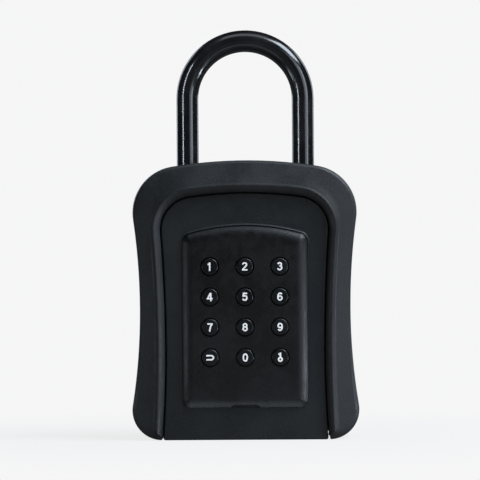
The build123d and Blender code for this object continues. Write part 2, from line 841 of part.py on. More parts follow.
def window_sketch(grow=0.0):
    return rounded(-window_half - grow, window_half + grow, window_bottom_z - grow,
                   window_top_z + grow, window_corner_r)


def rain_lip():
    """The bead over the panel's top, in front of the door."""
    depths = [(door_front_y + lip_height, lip_width), (door_front_y, lip_width),
              (door_front_y - lip_height, lip_crest)]
    bead = loft([front(y) * panel_sketch(panel_gap + out, panel_top_gap) for y, out in depths],
                ruled=True)
    crest_y = door_front_y - lip_height
    bead -= block(-opening.half, opening.half, crest_y - cut_margin, door_front_y + cut_margin, 0,
                  lip_end_z)
    side = Plane(origin=(-opening.half, 0, 0), x_dir=(0, 1, 0), z_dir=(1, 0, 0))
    fade = make_face(Polyline((door_front_y, lip_end_z - cut_margin), (door_front_y, lip_end_z),
                              (crest_y, lip_end_z + lip_fade), (crest_y - cut_margin, lip_end_z + lip_fade),
                              (crest_y - cut_margin, lip_end_z - cut_margin), close=True))
    return bead - extrude(side * fade, amount=opening.half * 2)


def door_shell():
    skin = slab(face(door_outline()), door_front_y, door_rear_y)
    skin = fillet(skin.faces().sort_by(Axis.Y)[0].edges(), door_edge_r)
    skin += rain_lip()
    skin -= slab(panel_sketch(panel_gap, panel_top_gap), door_front_y - cut_margin, recess_y)
    skin -= slab(window_sketch(), recess_y - cut_margin, door_rear_y + cut_margin)
    skin -= slab(window_sketch(board_margin), board_front_y, door_rear_y + cut_margin)
    for x, z in board_screw_places:
        skin -= rod_y(x, z, board_screw_r, recess_y - cut_margin, board_front_y + cut_margin)
    for x, z in liner_posts:
        skin -= rod_y(x, z, liner_screw_r, door_rear_y - liner_screw_bite, door_rear_y + cut_margin)
    for x, z in housing_screw_places:
        skin -= rod_y(x, z, housing_screw_r, door_rear_y - housing_screw_bite,
                      door_rear_y + cut_margin)
    return skin - hinge_bores(hinge_pin_r + hinge_fit)


def key_places():
    """Each key's name with its place in the front view."""
    places = {}
    for row, z in enumerate(key_rows_z):
        for column, name in enumerate(key_names[row]):
            places[name] = ((column - 1) * key_pitch_x, z)
    return places


def panel_edge():
    """The panel's broad round edge: how deep behind its face, and how far inside its foot."""
    turns = [math.radians(panel_edge_turn) * step / panel_edge_steps
             for step in range(panel_edge_steps + 1)]
    return [(panel_edge_r * (1 - math.cos(turn)), panel_edge_width - panel_edge_r * math.sin(turn))
            for turn in turns]


def keypad_panel():
    panel = loft([front(panel_front_y + deep) * panel_sketch(-inside) for deep, inside in panel_edge()],
                 ruled=True)
    panel += slab(panel_sketch(), panel_front_y + panel_edge()[-1][0], membrane_front_y)
    cavity = rounded(-panel_half + panel_cavity_inset, panel_half - panel_cavity_inset,
                     key_rows_z[-1] - key_flange_r - key_gap, key_rows_z[0] + key_flange_r + key_gap,
                     window_corner_r)
    panel -= slab(cavity, panel_front_y + panel_plate, membrane_front_y + cut_margin)
    for x, z in key_places().values():
        panel -= rod_y(x, z, key_r + key_gap, panel_front_y - cut_margin, membrane_front_y)
    for x, z in board_screw_places:
        panel -= rod_y(x, z, board_screw_r, board_screw_tip_y(), membrane_front_y + cut_margin)
    z0 = panel_bottom_z
    notch = make_face(Polyline((-notch_bottom_half, z0 - cut_margin), (notch_bottom_half, z0 - cut_margin),
                               (notch_bottom_half, z0), (notch_top_half, z0 + notch_height),
                               (-notch_top_half, z0 + notch_height), (-notch_bottom_half, z0),
                               close=True))
    return panel - slab(notch, panel_front_y - cut_margin, door_front_y)


def keypad_membrane():
    sheet = slab(panel_sketch(-membrane_inset), membrane_front_y, recess_y)
    for x, z in key_places().values():
        sheet -= rod_y(x, z, membrane_hole_r, membrane_front_y - cut_margin, recess_y + cut_margin)
    for x, z in board_screw_places:
        sheet -= rod_y(x, z, board_screw_r, membrane_front_y - cut_margin, recess_y + cut_margin)
    return sheet


def keypad_board():
    board = slab(window_sketch(board_margin - board_gap), board_front_y, board_rear_y)
    for x, z in board_screw_places:
        board -= rod_y(x, z, board_screw_r, board_front_y - cut_margin, board_rear_y + cut_margin)
    return board


def key_switches():
    half = switch_size / 2
    return joined([block(x - half, x + half, switch_front_y, board_front_y, z - half, z + half)
                   for x, z in key_places().values()])


def board_chips():
    return joined([block(x - wide / 2, x + wide / 2, board_rear_y, board_rear_y + chip_height,
                         z - tall / 2, z + tall / 2) for x, z, wide, tall in chip_places])


def board_screw_tip_y():
    return board_rear_y - board_screw_length


def board_screws():
    return joined([screw_from_back(x, z, board_rear_y + board_screw_head, board_screw_r,
                                   board_screw_length, board_screw_head_r, board_screw_head)
                   for x, z in board_screw_places])


def liner_outline():
    return inset(opening, ledge_width + liner_clearance)._replace(
        bottom_z=liner_bottom_z, bottom_corner_r=liner_bottom_corner_r)


def bay_walls():
    """Floor and walls of the battery bay, open at the back."""
    rear_y = liner_rear_y - liner_wall / 2
    walls = block(-liner_half, liner_half, bay_floor_front_y, rear_y, bay_bottom_z - bay_wall,
                  bay_top_z + bay_wall)
    walls -= block(-bay_half, bay_half, bay_floor_rear_y, rear_y + cut_margin, bay_bottom_z, bay_top_z)
    for z, side in battery_places():
        plate_x = contact_x() + contact_thickness
        walls += block(*sorted((side * plate_x, side * (bay_half + liner_wall / 2))),
                       bay_floor_front_y, cell_y + contact_half, z - contact_half, z + contact_half)
    return walls


def cover_bottom_z():
    return bay_bottom_z - cover_overlap


def cover_top_z():
    return bay_top_z + cover_overlap


def cover_rails():
    rails = Part()
    top_z = cover_top_z() + cover_travel
    for side in (-1, 1):
        inner = cover_half + cover_gap
        wall = sorted((side * inner, side * (inner + rail_wall)))
        lip = sorted((side * (inner - rail_lip), side * (inner + rail_wall)))
        rails += block(*wall, liner_rear_y, rail_rear_y, cover_bottom_z(), top_z)
        rails += block(*lip, cover_front_y + cover_edge + cover_gap, rail_rear_y, cover_bottom_z(),
                       top_z)
    half = cover_half + cover_gap + rail_wall
    rails += block(-half, half, liner_rear_y, rail_rear_y, cover_bottom_z() - cover_gap - rail_wall,
                   cover_bottom_z() - cover_gap)
    return rails


def door_liner():
    outline = liner_outline()
    inner = inset(outline, liner_wall)
    tub = slab(face(outline), door_rear_y, liner_rear_y)
    tub -= slab(face(inner), door_rear_y - cut_margin, liner_rear_y - liner_wall)
    tub += bay_walls()
    for x, z in liner_posts:
        tub += rod_y(x, z, liner_post_r, door_rear_y, liner_rear_y - liner_wall / 2)
    tub += cover_rails()
    tub -= slab(rounded(-bay_window_half, bay_window_half, bay_bottom_z, bay_top_z, window_corner_r),
                liner_rear_y - liner_wall - cut_margin, liner_rear_y + cut_margin)
    tub -= block(bolt_left_x - slide_fit, bolt_right_x + slide_fit, bolt_front_y - slide_fit,
                 bolt_rear_y + slide_fit, housing_top_z - cut_margin, outline.crown_z + cut_margin)
    for x, z in liner_posts:
        tub -= rod_y(x, z, liner_screw_r, door_rear_y - cut_margin, liner_rear_y + cut_margin)
        tub -= rod_y(x, z, liner_screw_head_r, liner_rear_y - liner_screw_head,
                     rail_rear_y + cut_margin)
    return tub


def liner_screws():
    length = liner_rear_y - liner_screw_head - door_rear_y + liner_screw_bite
    return joined([screw_from_back(x, z, liner_rear_y, liner_screw_r, length, liner_screw_head_r,
                                   liner_screw_head) for x, z in liner_posts])


def battery_places():
    """Height of each cell, and the side that its plus end points to."""
    return [(first_cell_z + cell_pitch * index, 1 if index % 2 else -1) for index in range(cell_count)]


def batteries():
    cells = []
    half = cell_length / 2
    for z, side in battery_places():
        can = rod_x(cell_y, z, cell_r, -half, half)
        can = fillet(can.edges().filter_by(GeomType.CIRCLE), cell_edge_r)
        cells.append(can + rod_x(cell_y, z, cell_nub_r, *sorted((side * half, side * (half + cell_nub)))))
    return joined(cells)


def contact_x():
    return cell_length / 2 + cell_nub + cell_clearance


def contact_plates():
    plates = []
    for z, side in battery_places():
        for end in (-1, 1):
            near = contact_x() if end == side else bay_half - contact_thickness
            plates.append(block(*sorted((end * near, end * (near + contact_thickness))),
                                cell_y - contact_half, cell_y + contact_half,
                                z - contact_half, z + contact_half))
    return joined(plates)


def contact_springs():
    springs = []
    for z, side in battery_places():
        middle = -side * (cell_length / 2 + cell_clearance + spring_length / 2)
        cone = Cone(spring_r, spring_tip_r, spring_length)
        springs.append(Pos(middle, cell_y, z) * Rot(0, 90 * side, 0) * cone)
    return joined(springs)


def battery_cover():
    body = block(-cover_half, cover_half, cover_front_y, cover_front_y + cover_edge,
                 cover_bottom_z(), cover_top_z())
    inner = cover_half - cover_lip
    body += block(-inner, inner, cover_front_y, rail_rear_y, cover_bottom_z(), cover_top_z())
    grip_z = cover_top_z() - cover_grip_below_top
    return body - rod_y(0, grip_z, cover_grip_r, rail_rear_y - cover_grip, rail_rear_y + cover_grip)


def buzzer():
    can = rod_y(buzzer_x, buzzer_z, buzzer_r, door_rear_y, door_rear_y + buzzer_height)
    return can - rod_y(buzzer_x, buzzer_z, buzzer_hole_r, door_rear_y + buzzer_height / 2,
                       door_rear_y + buzzer_height + cut_margin)


# The door latch

def involute(angle):
    return math.tan(angle) - angle


def pinion_sketch():
    """An involute pinion with one tooth pointing along its local x."""
    base_r = pitch_r * math.cos(math.radians(pressure_angle))
    root_r = pitch_r - rack_addendum - tooth_bottom_clearance
    tip_r = pitch_r + pinion_addendum
    half_at_pitch = (math.pi * module_mm / 2 - backlash) / 2 / pitch_r
    flank = [(root_r, half_at_pitch + involute(math.radians(pressure_angle)))]
    for step in range(5):
        radius = base_r + (tip_r - base_r) * step / 4
        lean = involute(math.acos(base_r / radius))
        flank.append((radius, half_at_pitch + involute(math.radians(pressure_angle)) - lean))
    points = []
    for tooth in range(pinion_teeth):
        middle = 2 * math.pi * tooth / pinion_teeth
        for radius, turn in flank:
            points.append((radius * math.cos(middle - turn), radius * math.sin(middle - turn)))
        for radius, turn in reversed(flank):
            points.append((radius * math.cos(middle + turn), radius * math.sin(middle + turn)))
    return make_face(Polyline(*points, close=True))


def drive_pinion():
    gear_plane = Plane(origin=(pinion_left_x, pinion_y, pinion_z), x_dir=(0, 1, 0), z_dir=(1, 0, 0))
    gear = extrude(gear_plane * pinion_sketch(), amount=pinion_right_x - pinion_left_x)
    return gear - rod_x(pinion_y, pinion_z, pinion_bore_r, pinion_left_x - cut_margin,
                        pinion_right_x + cut_margin)


def rack_gap(z):
    """The space between two rack teeth, seen from the side, centred at a height."""
    slope = math.tan(math.radians(pressure_angle))
    depth = pinion_addendum + tooth_bottom_clearance
    half = math.pi * module_mm / 4
    at_floor = half - depth * slope
    at_mouth = half + (rack_addendum + cut_margin) * slope
    side = Plane(origin=(bolt_left_x - cut_margin, bolt_front_y, z), x_dir=(0, 1, 0), z_dir=(1, 0, 0))
    gap = make_face(Polyline((depth, -at_floor), (depth, at_floor),
                             (-rack_addendum - cut_margin, at_mouth),
                             (-rack_addendum - cut_margin, -at_mouth), close=True))
    return extrude(side * gap, amount=bolt_right_x - bolt_left_x + 2 * cut_margin)


def latch_bolt():
    bolt = block(bolt_left_x, bolt_right_x, bolt_front_y, bolt_rear_y, bolt_bottom_z, bolt_top_z)
    bolt = chamfer(bolt.faces().sort_by(Axis.Z)[-1].edges(), bolt_tip_r)
    pitch = math.pi * module_mm
    rack_top_z = rack_bottom_z + rack_tooth_count * pitch
    bolt += block(bolt_left_x, bolt_right_x, bolt_front_y - rack_addendum, bolt_front_y,
                  bolt_bottom_z, rack_top_z)
    first = math.ceil((rack_bottom_z - pinion_z) / pitch)
    for index in range(first - 1, first + rack_tooth_count):
        bolt -= rack_gap(pinion_z + index * pitch)
    return bolt


def motor_body():
    motor = rod_x(pinion_y, pinion_z, motor_r, motor_left_x, motor_right_x)
    motor = fillet(motor.faces().sort_by(Axis.X)[0].edges(), motor_cap)
    return motor + rod_x(pinion_y, pinion_z, motor_cap_r, motor_left_x - motor_cap, motor_left_x)


def motor_gearbox():
    box = rod_x(pinion_y, pinion_z, motor_r - gearbox_rim, motor_right_x, gearbox_right_x)
    return box + rod_x(pinion_y, pinion_z, shaft_r, gearbox_right_x, pinion_right_x)


def latch_housing():
    rear_y = liner_rear_y - liner_wall - housing_rear_gap
    body = block(housing_left_x, housing_right_x, door_rear_y, rear_y, housing_bottom_z, housing_top_z)
    body -= block(bolt_left_x - slide_fit, bolt_right_x + slide_fit,
                  bolt_front_y - slide_fit, bolt_rear_y + slide_fit,
                  housing_bottom_z - cut_margin, housing_top_z + cut_margin)
    rack_top_z = rack_bottom_z + rack_tooth_count * math.pi * module_mm + bolt_travel
    body -= block(bolt_left_x - slide_fit, bolt_right_x + slide_fit,
                  bolt_front_y - rack_addendum - slide_fit, bolt_front_y,
                  housing_bottom_z - cut_margin, rack_top_z + slide_fit)
    cavity_r = pitch_r + pinion_addendum + backlash
    body -= rod_x(pinion_y, pinion_z, cavity_r, bolt_left_x - slide_fit, bolt_right_x + slide_fit)
    body -= block(bolt_left_x - slide_fit, bolt_right_x + slide_fit, pinion_y, bolt_front_y,
                  pinion_z - cavity_r, pinion_z + cavity_r)
    body -= rod_x(pinion_y, pinion_z, motor_r - gearbox_rim + slide_fit,
                  housing_left_x - cut_margin, gearbox_right_x + slide_fit)
    body -= rod_x(pinion_y, pinion_z, shaft_r + slide_fit, gearbox_right_x, bolt_left_x)
    for x, z in housing_screw_places:
        body -= rod_y(x, z, housing_screw_r, door_rear_y - cut_margin, rear_y + cut_margin)
        body -= rod_y(x, z, housing_screw_head_r, rear_y - housing_screw_head, rear_y + cut_margin)
    return body


def housing_screws():
    rear_y = liner_rear_y - liner_wall - housing_rear_gap
    length = rear_y - housing_screw_head - door_rear_y + housing_screw_bite
    return joined([screw_from_back(x, z, rear_y, housing_screw_r, length, housing_screw_head_r,
                                   housing_screw_head) for x, z in housing_screw_places])


def key(x, z):
    cap = rod_y(x, z, key_r, key_front_y, flange_front_y)
    cap = fillet(cap.edges().filter_by(GeomType.CIRCLE).sort_by(Axis.Y)[0], key_edge_r)
    cap += rod_y(x, z, key_flange_r, flange_front_y, flange_front_y + key_flange)
    return cap + rod_y(x, z, key_stem_r, flange_front_y + key_flange, key_stem_rear_y)


nodes = {
    "front_frame": front_frame, "rear_case": rear_case, "back_pad": back_pad, "door_seal": door_seal,
    "strike_plate": strike_plate, "strike_screws": strike_screws, "shackle_block": shackle_block,
    "block_cover": block_cover, "block_screws": block_screws, "case_screws": case_screws,
    "hinge_pins": hinge_pins, "key_hook": key_hook, "shackle_core": shackle_core,
    "shackle_sleeve": shackle_sleeve, "heel_clip": heel_clip, "shackle_latch": shackle_latch,
    "release_knob": release_knob, "door_shell": door_shell, "keypad_panel": keypad_panel,
    "keypad_membrane": keypad_membrane, "keypad_board": keypad_board, "key_switches": key_switches,
    "board_chips": board_chips, "board_screws": board_screws, "door_liner": door_liner,
    "liner_screws": liner_screws, "batteries": batteries, "contact_springs": contact_springs,
    "contact_plates": contact_plates, "battery_cover": battery_cover, "buzzer": buzzer,
    "drive_pinion": drive_pinion, "latch_bolt": latch_bolt, "motor_body": motor_body,
    "motor_gearbox": motor_gearbox, "latch_housing": latch_housing, "housing_screws": housing_screws,
}

os.makedirs("parts", exist_ok=True)
for node_name, make_node in nodes.items():
    export_step(make_node(), f"parts/{node_name}.step")
for key_name, (key_x, key_z) in key_places().items():
    export_step(key(key_x, key_z), f"parts/key_{key_name}.step")
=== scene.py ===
import math

import bmesh
import bpy
from mathutils import Matrix, Vector


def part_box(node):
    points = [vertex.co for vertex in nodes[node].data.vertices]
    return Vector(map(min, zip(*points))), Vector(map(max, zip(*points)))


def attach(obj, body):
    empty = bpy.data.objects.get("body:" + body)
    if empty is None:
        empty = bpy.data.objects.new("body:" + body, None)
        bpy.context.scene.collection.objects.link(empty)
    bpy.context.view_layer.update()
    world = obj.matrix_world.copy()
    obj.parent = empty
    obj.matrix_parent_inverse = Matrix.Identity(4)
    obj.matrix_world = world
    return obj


# Looks of the electronic key cabinet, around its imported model. Metres, +Z up, the front faces -Y.

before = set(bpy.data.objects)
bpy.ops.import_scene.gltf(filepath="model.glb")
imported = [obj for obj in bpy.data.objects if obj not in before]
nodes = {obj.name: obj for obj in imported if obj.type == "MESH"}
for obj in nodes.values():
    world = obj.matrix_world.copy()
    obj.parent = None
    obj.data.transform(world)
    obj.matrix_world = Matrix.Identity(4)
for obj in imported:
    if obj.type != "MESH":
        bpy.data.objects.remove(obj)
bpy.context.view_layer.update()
scene = bpy.context.scene
MM = 0.001

# Photograph: 480 by 480 pixels, and what one pixel is at the door's front
PHOTO_PIXELS = 480
PIXEL = 0.42 * MM
PHOTO_CENTRE_X = -1.93 * MM
PHOTO_CENTRE_Z = 84.0 * MM
PHOTO_ROLL = math.radians(0.4)
PHOTO_TURN = math.radians(1.25)
CAMERA_DISTANCE = 1.6
CAMERA_REACH = 100.0
SENSOR = 36.0
DOOR_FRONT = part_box("door_shell")[0].y

# Studio. The camera sees the background and the floor's glow at full strength. AMBIENT and
# FLOOR_GLOW are the strengths with which they light the object. The floor's true shading shows by
# the share FLOOR_SHADE up to FLOOR_NEAR from the middle, and fades out towards FLOOR_FAR.
BACKGROUND = 0.918
PALE = (BACKGROUND, BACKGROUND, BACKGROUND * 1.005, 1.0)
AMBIENT = 0.0
FLOOR_COLOUR = (0.8, 0.8, 0.8, 1.0)
FLOOR_ROUGHNESS = 0.9
FLOOR_GLOW = 0.11
FLOOR_NEAR = 0.02
FLOOR_FAR = 0.28
FLOOR_SHADE = 0.14
FLOOR_SIZE = 30.0
LIGHT_TINT = (0.90, 1.0, 1.12)

# Patterns: the limits between which a noise goes from no effect to full effect, and the shares in
# which noises are mixed
SWELL_DENSITY = 0.22
PIT_LIMITS = (0.1, 0.75)
GLINT_FLECK_LIMITS = (0.56, 0.74)
GRAIN_SHARES = {"fine": 0.6, "pits": 0.4, "swell": 0.35}
SMUDGE_DENSITY = 6.0
TONE_LIMITS = (0.35, 0.7)
SHINE_LIMITS = (0.4, 0.62)
MARK_SHARES = {"broad": 0.65, "small": 0.35}
BEND_SAMPLES = 4
BEND_LIMITS = (0.999, 0.9)
BREAK_LIMITS = (0.35, 0.6)
LINE_STRETCH = (0.03, 1.0, 1.0)
LINE_LIMITS = (0.3, 0.7)

# Factors of a finish's own colour between which its clouds or lines go
TONE_LOW = 0.86
TONE_HIGH = 1.14
METAL_TONE_LOW = 0.88


# Node groups and materials

def shader_group(name, inputs, outputs):
    """An empty node group with number sockets: inputs with their usual values, and outputs."""
    tree = bpy.data.node_groups.new(name, "ShaderNodeTree")
    kind = "NodeSocketFloat"
    for label, value in inputs.items():
        socket = tree.interface.new_socket(label, in_out="INPUT", socket_type=kind)
        socket.default_value = value
    for label in outputs:
        tree.interface.new_socket(label, in_out="OUTPUT", socket_type=kind)
    return tree, tree.nodes.new("NodeGroupInput"), tree.nodes.new("NodeGroupOutput")


def add(tree, kind, settings=None, **values):
    """A node with its properties and the values of its named inputs."""
    node = tree.nodes.new(kind)
    for key, value in (settings or {}).items():
        setattr(node, key, value)
    for key, value in values.items():
        node.inputs[key.replace("_", " ")].default_value = value
    return node


def feed(tree, value, socket):
    """Gives an input socket a number or what another socket puts out."""
    if isinstance(value, (int, float)):
        socket.default_value = value
    else:
        tree.links.new(value, socket)


def object_place(tree):
    """A point in its own piece's coordinates, so that a pattern moves with the piece."""
    return tree.nodes.new("ShaderNodeTexCoord").outputs["Object"]


def math_node(tree, operation, *values):
    """A math node whose inputs are numbers or sockets."""
    node = add(tree, "ShaderNodeMath", {"operation": operation})
    for value, socket in zip(values, node.inputs):
        feed(tree, value, socket)
    return node.outputs[0]


def weighted(tree, values, shares):
    """The sum of named sockets, each times its share."""
    total = None
    for name, share in shares.items():
        part = math_node(tree, "MULTIPLY", values[name], share)
        total = part if total is None else math_node(tree, "ADD", total, part)
    return total


def noise(tree, vector, scale, detail=2.0, roughness=0.5):
    """A noise value over a vector socket, with the scale as a number or a socket."""
    node = add(tree, "ShaderNodeTexNoise", Detail=detail, Roughness=roughness)
    tree.links.new(vector, node.inputs["Vector"])
    feed(tree, scale, node.inputs["Scale"])
    return node.outputs["Fac"]


def ramp(tree, value, low, high, out_low=0.0, out_high=1.0):
    """A value mapped from one range to another, smoothly, and held at its ends."""
    node = add(tree, "ShaderNodeMapRange", {"interpolation_type": "SMOOTHSTEP"})
    tree.links.new(value, node.inputs["Value"])
    limits = {"From Min": low, "From Max": high, "To Min": out_low, "To Max": out_high}
    for label, number in limits.items():
        node.inputs[label].default_value = number
    return node.outputs["Result"]


def make_grain_group():
    """The fine spark texture of moulded plastic: a height, and painted glints where light catches.
    """
    tree, source, result = shader_group(
        "moulded_grain", {"Grains per metre": 2400.0}, ["Height", "Glint fleck"])
    place = object_place(tree)
    density = source.outputs["Grains per metre"]
    fine = noise(tree, place, density, 3.0, 0.6)
    swell = noise(tree, place, math_node(tree, "MULTIPLY", density, SWELL_DENSITY), 2.0)
    cells = add(tree, "ShaderNodeTexVoronoi", {"feature": "F1"})
    tree.links.new(place, cells.inputs["Vector"])
    tree.links.new(density, cells.inputs["Scale"])
    pits = ramp(tree, cells.outputs["Distance"], *PIT_LIMITS)
    height = weighted(tree, {"fine": fine, "pits": pits, "swell": swell}, GRAIN_SHARES)
    tree.links.new(height, result.inputs["Height"])
    tree.links.new(ramp(tree, fine, *GLINT_FLECK_LIMITS), result.inputs["Glint fleck"])
    return tree


def make_handling_group():
    """Broad cloudy marks of handling: one value for shine and one for colour."""
    tree, source, result = shader_group(
        "handling_marks", {"Marks per metre": 45.0}, ["Shine", "Tone"])
    place = object_place(tree)
    density = source.outputs["Marks per metre"]
    broad = noise(tree, place, density, 4.0, 0.55)
    small = noise(tree, place, math_node(tree, "MULTIPLY", density, SMUDGE_DENSITY), 3.0, 0.6)
    tree.links.new(ramp(tree, broad, *TONE_LIMITS), result.inputs["Tone"])
    both = weighted(tree, {"broad": broad, "small": small}, MARK_SHARES)
    tree.links.new(ramp(tree, both, *SHINE_LIMITS), result.inputs["Shine"])
    return tree


def make_edge_wear_and_sheen_group():
    """A mask that is 1 on worn edges, broken up along them; the edges it pales carry both rubbed
    wear and a painted highlight.
    """
    tree, source, result = shader_group(
        "rubbed_edges_and_sheen", {"Reach": 0.4 * MM, "Breaks per metre": 500.0}, ["Mask"])
    round_normal = add(tree, "ShaderNodeBevel", {"samples": BEND_SAMPLES})
    tree.links.new(source.outputs["Reach"], round_normal.inputs["Radius"])
    flat_normal = tree.nodes.new("ShaderNodeNewGeometry").outputs["Normal"]
    dot = add(tree, "ShaderNodeVectorMath", {"operation": "DOT_PRODUCT"})
    tree.links.new(round_normal.outputs["Normal"], dot.inputs[0])
    tree.links.new(flat_normal, dot.inputs[1])
    bend = ramp(tree, dot.outputs["Value"], *BEND_LIMITS)
    place = object_place(tree)
    breaks = noise(tree, place, source.outputs["Breaks per metre"], 3.0, 0.6)
    broken = ramp(tree, breaks, *BREAK_LIMITS)
    tree.links.new(math_node(tree, "MULTIPLY", bend, broken), result.inputs["Mask"])
    return tree


def make_brushed_group():
    """Long fine lines of drawn or ground metal along X: a height and a tone."""
    tree, source, result = shader_group(
        "ground_lines", {"Lines per metre": 5000.0}, ["Height", "Tone"])
    place = object_place(tree)
    stretch = add(tree, "ShaderNodeMapping")
    stretch.inputs["Scale"].default_value = LINE_STRETCH
    tree.links.new(place, stretch.inputs["Vector"])
    lines = noise(tree, stretch.outputs["Vector"], source.outputs["Lines per metre"], 2.0, 0.6)
    tree.links.new(lines, result.inputs["Height"])
    tree.links.new(ramp(tree, lines, *LINE_LIMITS), result.inputs["Tone"])
    return tree


GRAIN = make_grain_group()
HANDLING = make_handling_group()
EDGE_WEAR_AND_SHEEN = make_edge_wear_and_sheen_group()
BRUSHED = make_brushed_group()


def use_group(tree, group, **values):
    """One of the shared groups, with the values of its named inputs."""
    return add(tree, "ShaderNodeGroup", {"node_tree": group}, **values)


def new_material(name):
    """A new material, its node tree and its shader."""
    material = bpy.data.materials.new(name)
    material.use_nodes = True
    tree = material.node_tree
    return material, tree, tree.nodes["Principled BSDF"]


def colour_mix(tree, share, first, second):
    """A colour between two, by a share socket. Each colour is three numbers or a socket."""
    node = add(tree, "ShaderNodeMix", {"data_type": "RGBA"})
    tree.links.new(share, node.inputs["Factor"])
    for label, value in (("A", first), ("B", second)):
        socket = [s for s in node.inputs if s.name == label and s.type == "RGBA"][0]
        if isinstance(value, tuple):
            socket.default_value = (*value, 1.0)
        else:
            tree.links.new(value, socket)
    return [s for s in node.outputs if s.type == "RGBA"][0]


def bump(tree, height, depth):
    """The normal of a surface whose height goes over a depth in metres."""
    node = add(tree, "ShaderNodeBump", Strength=1.0, Distance=depth)
    tree.links.new(height, node.inputs["Height"])
    return node.outputs["Normal"]


def tinted(colour, factor):
    """A colour made paler or darker by a factor."""
    return tuple(channel * factor for channel in colour)


def set_shine(tree, shader, marks, shine):
    """Roughness between two values, by the marks of handling."""
    roughness = ramp(tree, marks.outputs["Shine"], 0.0, 1.0, *shine)
    tree.links.new(roughness, shader.inputs["Roughness"])


def moulded_plastic(name, colour, shine, grains=1500.0, depth=0.055 * MM, specular=0.5, glint_fleck=2.2,
                    edge_wear_and_sheen=2.2):
    """Moulded plastic or rubber: spark grain, painted glint flecks, marks of handling, and paler
    edges of rubbed wear with a painted highlight.

    The shine is its least and greatest roughness. The painted glint flecks and the paler edges
    (wear and painted highlight) are factors of the colour."""
    material, tree, shader = new_material(name)
    grain = use_group(tree, GRAIN, Grains_per_metre=grains)
    marks = use_group(tree, HANDLING)
    edges = use_group(tree, EDGE_WEAR_AND_SHEEN)
    dark, pale = tinted(colour, TONE_LOW), tinted(colour, TONE_HIGH)
    toned = colour_mix(tree, marks.outputs["Tone"], dark, pale)
    # Painted glints: paler flecks of the colour at random spots of the grain
    glint_flecked = colour_mix(tree, grain.outputs["Glint fleck"], toned, tinted(colour, glint_fleck))
    # Paler edges: rubbed wear together with a painted edge highlight
    rubbed_and_sheen = colour_mix(tree, edges.outputs["Mask"], glint_flecked, tinted(colour, edge_wear_and_sheen))
    tree.links.new(rubbed_and_sheen, shader.inputs["Base Color"])
    set_shine(tree, shader, marks, shine)
    shader.inputs["Specular IOR Level"].default_value = specular
    tree.links.new(bump(tree, grain.outputs["Height"], depth), shader.inputs["Normal"])
    return material


def plated_metal(name, colour, shine, lines=5000.0, depth=0.004 * MM, edge_wear_and_sheen=1.2):
    """Metal or dark-coated metal with ground lines, dull spots, and brighter edges of wear with a
    painted highlight.
    """
    material, tree, shader = new_material(name)
    ground = use_group(tree, BRUSHED, Lines_per_metre=lines)
    marks = use_group(tree, HANDLING, Marks_per_metre=120.0)
    edges = use_group(tree, EDGE_WEAR_AND_SHEEN)
    toned = colour_mix(tree, ground.outputs["Tone"], tinted(colour, METAL_TONE_LOW), colour)
    # Brighter edges: rubbed wear together with a painted edge highlight
    rubbed_and_sheen = colour_mix(tree, edges.outputs["Mask"], toned, tinted(colour, edge_wear_and_sheen))
    tree.links.new(rubbed_and_sheen, shader.inputs["Base Color"])
    set_shine(tree, shader, marks, shine)
    shader.inputs["Metallic"].default_value = 1.0
    tree.links.new(bump(tree, ground.outputs["Height"], depth), shader.inputs["Normal"])
    return material


SLEEVE_COLOURS = ((0.006, 0.006, 0.0065), (0.010, 0.010, 0.011))
SLEEVE_SHINE = (0.13, 0.20)
SLEEVE_SPECULAR = 0.6
SLEEVE_PEELS = 260.0
SLEEVE_PEEL_DEPTH = 0.009 * MM
PRINT_COLOURS = ((0.84, 0.85, 0.86), (0.92, 0.93, 0.94))
PRINT_ROUGHNESS = 0.5
# Strength of the print's painted glow
PRINT_PAINTED_GLOW = 0.35
CELL_BAND_FROM = 21.3 * MM
CELL_COLOURS = ((0.05, 0.09, 0.16), (0.06, 0.11, 0.19))
CELL_BAND_COLOUR = (0.62, 0.60, 0.56)
CELL_ROUGHNESS = 0.32


def glossy_sleeve():
    """The shackle's smooth black cover: deep gloss with a faint orange peel."""
    material, tree, shader = new_material("glossy_sleeve")
    marks = use_group(tree, HANDLING, Marks_per_metre=60.0)
    place = object_place(tree)
    peel = noise(tree, place, SLEEVE_PEELS, 2.0, 0.4)
    base = colour_mix(tree, marks.outputs["Tone"], *SLEEVE_COLOURS)
    tree.links.new(base, shader.inputs["Base Color"])
    set_shine(tree, shader, marks, SLEEVE_SHINE)
    shader.inputs["Specular IOR Level"].default_value = SLEEVE_SPECULAR
    tree.links.new(bump(tree, peel, SLEEVE_PEEL_DEPTH), shader.inputs["Normal"])
    return material


def printed_white():
    """The figures' white print, slightly uneven, with a painted glow of its own colour."""
    material, tree, shader = new_material("printed_white")
    marks = use_group(tree, HANDLING, Marks_per_metre=900.0)
    base = colour_mix(tree, marks.outputs["Tone"], *PRINT_COLOURS)
    tree.links.new(base, shader.inputs["Base Color"])
    shader.inputs["Roughness"].default_value = PRINT_ROUGHNESS
    # Painted glow: the print gives off light of its own colour though it is no lamp, so it stays
    # bright in shade.
    tree.links.new(base, shader.inputs["Emission Color"])
    shader.inputs["Emission Strength"].default_value = PRINT_PAINTED_GLOW
    return material


def cell_wrap():
    """A plain wrapped cell: a dark blue sleeve between bare metal ends, by its place along X."""
    material, tree, shader = new_material("cell_wrap")
    marks = use_group(tree, HANDLING, Marks_per_metre=200.0)
    place = add(tree, "ShaderNodeSeparateXYZ")
    tree.links.new(object_place(tree), place.inputs["Vector"])
    from_middle = math_node(tree, "ABSOLUTE", place.outputs["X"])
    end = math_node(tree, "GREATER_THAN", from_middle, CELL_BAND_FROM)
    wrap = colour_mix(tree, marks.outputs["Tone"], *CELL_COLOURS)
    base = colour_mix(tree, end, wrap, CELL_BAND_COLOUR)
    tree.links.new(base, shader.inputs["Base Color"])
    tree.links.new(end, shader.inputs["Metallic"])
    shader.inputs["Roughness"].default_value = CELL_ROUGHNESS
    return material


